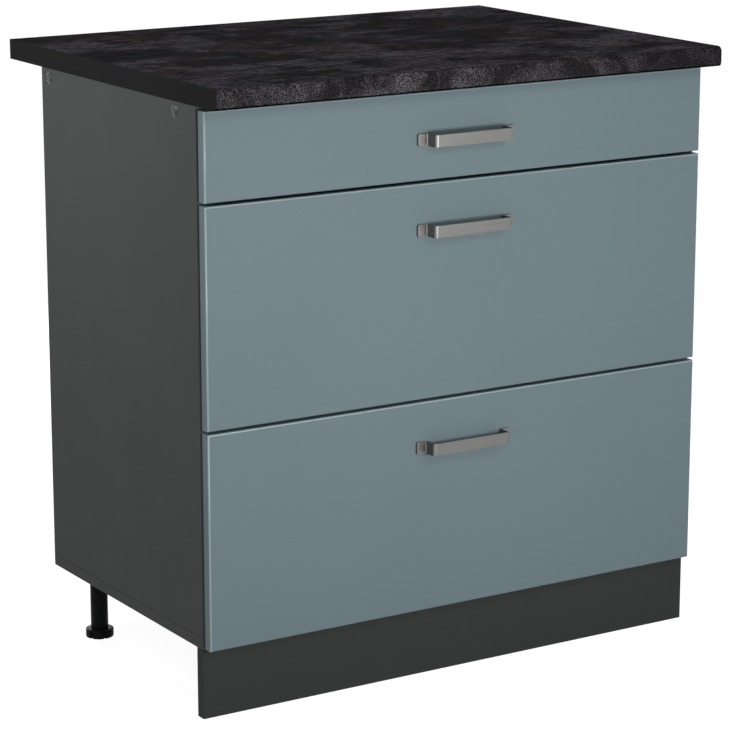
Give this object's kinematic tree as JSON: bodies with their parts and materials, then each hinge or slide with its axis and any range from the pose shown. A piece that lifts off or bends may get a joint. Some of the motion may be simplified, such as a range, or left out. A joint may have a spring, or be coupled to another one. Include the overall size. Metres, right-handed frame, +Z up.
{
  "type": "base cabinet with drawers",
  "caption": "Kitchen base cabinet with drawers on roller slides, strap handles, a slate-effect worktop with a rolled front edge, a front plinth board and rear screw feet.",
  "frame": {"origin": "on the floor, under the middle of the worktop's plan", "axes": "+Z up; the drawer fronts face -Y; +X to the right of someone who stands before them"},
  "size_m": [0.804, 0.6, 0.85],
  "materials": {
    "carcass_board": "anthracite melamine-faced chipboard, fine matt texture",
    "back_board": "thin hardboard with a plain grey print",
    "worktop_laminate": "dark slate-effect laminate on chipboard, matt, rolled front edge",
    "worktop_edging": "plain dark edging strip",
    "front_lacquer": "matt grey-blue lacquer on fibreboard",
    "handle_metal": "brushed nickel",
    "drawer_board": "light grey melamine-faced chipboard",
    "drawer_steel": "grey powder coat on folded steel",
    "bracket_steel": "zinc plated",
    "roller_nylon": "white nylon",
    "leg_plastic": "black moulded plastic"
  },
  "bodies": {
    "carcass": {"side_panel_left": "carcass_board", "side_panel_right": "carcass_board", "bottom_panel": "carcass_board", "front_rail": "carcass_board", "rear_rail": "carcass_board", "back_panel": "back_board", "worktop": "worktop_laminate", "worktop_edge_left": "worktop_edging", "worktop_edge_right": "worktop_edging", "plinth_board": "carcass_board", "plinth_bracket_left": "bracket_steel", "plinth_bracket_right": "bracket_steel", "leg_left": "leg_plastic", "leg_right": "leg_plastic", "cover_cap_front_left": "carcass_board", "cover_cap_front_right": "carcass_board", "cover_cap_rear_left": "carcass_board", "cover_cap_rear_right": "carcass_board", "top_runner_left": "drawer_steel", "top_runner_right": "drawer_steel", "middle_runner_left": "drawer_steel", "middle_runner_right": "drawer_steel", "bottom_runner_left": "drawer_steel", "bottom_runner_right": "drawer_steel"},
    "top_drawer": {"top_drawer_front": "front_lacquer", "top_drawer_handle": "handle_metal", "top_drawer_base": "drawer_board", "top_drawer_back": "drawer_board", "top_drawer_side_left": "drawer_steel", "top_drawer_side_right": "drawer_steel"},
    "middle_drawer": {"middle_drawer_front": "front_lacquer", "middle_drawer_handle": "handle_metal", "middle_drawer_base": "drawer_board", "middle_drawer_back": "drawer_board", "middle_drawer_side_left": "drawer_steel", "middle_drawer_side_right": "drawer_steel", "middle_gallery_rail_left": "drawer_steel", "middle_gallery_rail_right": "drawer_steel"},
    "bottom_drawer": {"bottom_drawer_front": "front_lacquer", "bottom_drawer_handle": "handle_metal", "bottom_drawer_base": "drawer_board", "bottom_drawer_back": "drawer_board", "bottom_drawer_side_left": "drawer_steel", "bottom_drawer_side_right": "drawer_steel", "bottom_gallery_rail_left": "drawer_steel", "bottom_gallery_rail_right": "drawer_steel"},
    "top_runner_roller_left": {"top_runner_roller_left": "roller_nylon"},
    "top_drawer_roller_left": {"top_drawer_roller_left": "roller_nylon"},
    "top_runner_roller_right": {"top_runner_roller_right": "roller_nylon"},
    "top_drawer_roller_right": {"top_drawer_roller_right": "roller_nylon"},
    "middle_runner_roller_left": {"middle_runner_roller_left": "roller_nylon"},
    "middle_drawer_roller_left": {"middle_drawer_roller_left": "roller_nylon"},
    "middle_runner_roller_right": {"middle_runner_roller_right": "roller_nylon"},
    "middle_drawer_roller_right": {"middle_drawer_roller_right": "roller_nylon"},
    "bottom_runner_roller_left": {"bottom_runner_roller_left": "roller_nylon"},
    "bottom_drawer_roller_left": {"bottom_drawer_roller_left": "roller_nylon"},
    "bottom_runner_roller_right": {"bottom_runner_roller_right": "roller_nylon"},
    "bottom_drawer_roller_right": {"bottom_drawer_roller_right": "roller_nylon"},
    "foot_left": {"foot_left": "leg_plastic"},
    "foot_right": {"foot_right": "leg_plastic"}
  },
  "joints": [
    {"name": "top_drawer_slide", "type": "slide", "parent": "carcass", "child": "top_drawer", "axis": [0, -1, 0], "range_m": [0, 0.3]},
    {"name": "middle_drawer_slide", "type": "slide", "parent": "carcass", "child": "middle_drawer", "axis": [0, -1, 0], "range_m": [0, 0.3]},
    {"name": "bottom_drawer_slide", "type": "slide", "parent": "carcass", "child": "bottom_drawer", "axis": [0, -1, 0], "range_m": [0, 0.3]},
    {"name": "top_runner_roller_left_spin", "type": "hinge", "parent": "carcass", "child": "top_runner_roller_left", "pos_m": [-0.3765, -0.229, 0.7205], "axis": [1, 0, 0], "range_deg": [0, 1570]},
    {"name": "top_drawer_roller_left_spin", "type": "hinge", "parent": "top_drawer", "child": "top_drawer_roller_left", "pos_m": [-0.3781, 0.143, 0.7209], "axis": [1, 0, 0], "range_deg": [0, 1570]},
    {"name": "top_runner_roller_right_spin", "type": "hinge", "parent": "carcass", "child": "top_runner_roller_right", "pos_m": [0.3765, -0.229, 0.7205], "axis": [1, 0, 0], "range_deg": [0, 1570]},
    {"name": "top_drawer_roller_right_spin", "type": "hinge", "parent": "top_drawer", "child": "top_drawer_roller_right", "pos_m": [0.3781, 0.143, 0.7209], "axis": [1, 0, 0], "range_deg": [0, 1570]},
    {"name": "middle_runner_roller_left_spin", "type": "hinge", "parent": "carcass", "child": "middle_runner_roller_left", "pos_m": [-0.3765, -0.229, 0.4335], "axis": [1, 0, 0], "range_deg": [0, 1570]},
    {"name": "middle_drawer_roller_left_spin", "type": "hinge", "parent": "middle_drawer", "child": "middle_drawer_roller_left", "pos_m": [-0.3781, 0.143, 0.4339], "axis": [1, 0, 0], "range_deg": [0, 1570]},
    {"name": "middle_runner_roller_right_spin", "type": "hinge", "parent": "carcass", "child": "middle_runner_roller_right", "pos_m": [0.3765, -0.229, 0.4335], "axis": [1, 0, 0], "range_deg": [0, 1570]},
    {"name": "middle_drawer_roller_right_spin", "type": "hinge", "parent": "middle_drawer", "child": "middle_drawer_roller_right", "pos_m": [0.3781, 0.143, 0.4339], "axis": [1, 0, 0], "range_deg": [0, 1570]},
    {"name": "bottom_runner_roller_left_spin", "type": "hinge", "parent": "carcass", "child": "bottom_runner_roller_left", "pos_m": [-0.3765, -0.229, 0.1335], "axis": [1, 0, 0], "range_deg": [0, 1570]},
    {"name": "bottom_drawer_roller_left_spin", "type": "hinge", "parent": "bottom_drawer", "child": "bottom_drawer_roller_left", "pos_m": [-0.3781, 0.143, 0.1339], "axis": [1, 0, 0], "range_deg": [0, 1570]},
    {"name": "bottom_runner_roller_right_spin", "type": "hinge", "parent": "carcass", "child": "bottom_runner_roller_right", "pos_m": [0.3765, -0.229, 0.1335], "axis": [1, 0, 0], "range_deg": [0, 1570]},
    {"name": "bottom_drawer_roller_right_spin", "type": "hinge", "parent": "bottom_drawer", "child": "bottom_drawer_roller_right", "pos_m": [0.3781, 0.143, 0.1339], "axis": [1, 0, 0], "range_deg": [0, 1570]},
    {"name": "foot_left_screw", "type": "slide", "parent": "carcass", "child": "foot_left", "axis": [0, 0, -1], "range_m": [0, 0.02]},
    {"name": "foot_right_screw", "type": "slide", "parent": "carcass", "child": "foot_right", "axis": [0, 0, -1], "range_m": [0, 0.02]}
  ],
  "couplings": [
    {"joint": "top_runner_roller_left_spin", "follows": "top_drawer_slide", "rad_per_m": 90.909},
    {"joint": "top_drawer_roller_left_spin", "follows": "top_drawer_slide", "rad_per_m": 90.909},
    {"joint": "top_runner_roller_right_spin", "follows": "top_drawer_slide", "rad_per_m": 90.909},
    {"joint": "top_drawer_roller_right_spin", "follows": "top_drawer_slide", "rad_per_m": 90.909},
    {"joint": "middle_runner_roller_left_spin", "follows": "middle_drawer_slide", "rad_per_m": 90.909},
    {"joint": "middle_drawer_roller_left_spin", "follows": "middle_drawer_slide", "rad_per_m": 90.909},
    {"joint": "middle_runner_roller_right_spin", "follows": "middle_drawer_slide", "rad_per_m": 90.909},
    {"joint": "middle_drawer_roller_right_spin", "follows": "middle_drawer_slide", "rad_per_m": 90.909},
    {"joint": "bottom_runner_roller_left_spin", "follows": "bottom_drawer_slide", "rad_per_m": 90.909},
    {"joint": "bottom_drawer_roller_left_spin", "follows": "bottom_drawer_slide", "rad_per_m": 90.909},
    {"joint": "bottom_runner_roller_right_spin", "follows": "bottom_drawer_slide", "rad_per_m": 90.909},
    {"joint": "bottom_drawer_roller_right_spin", "follows": "bottom_drawer_slide", "rad_per_m": 90.909}
  ]
}
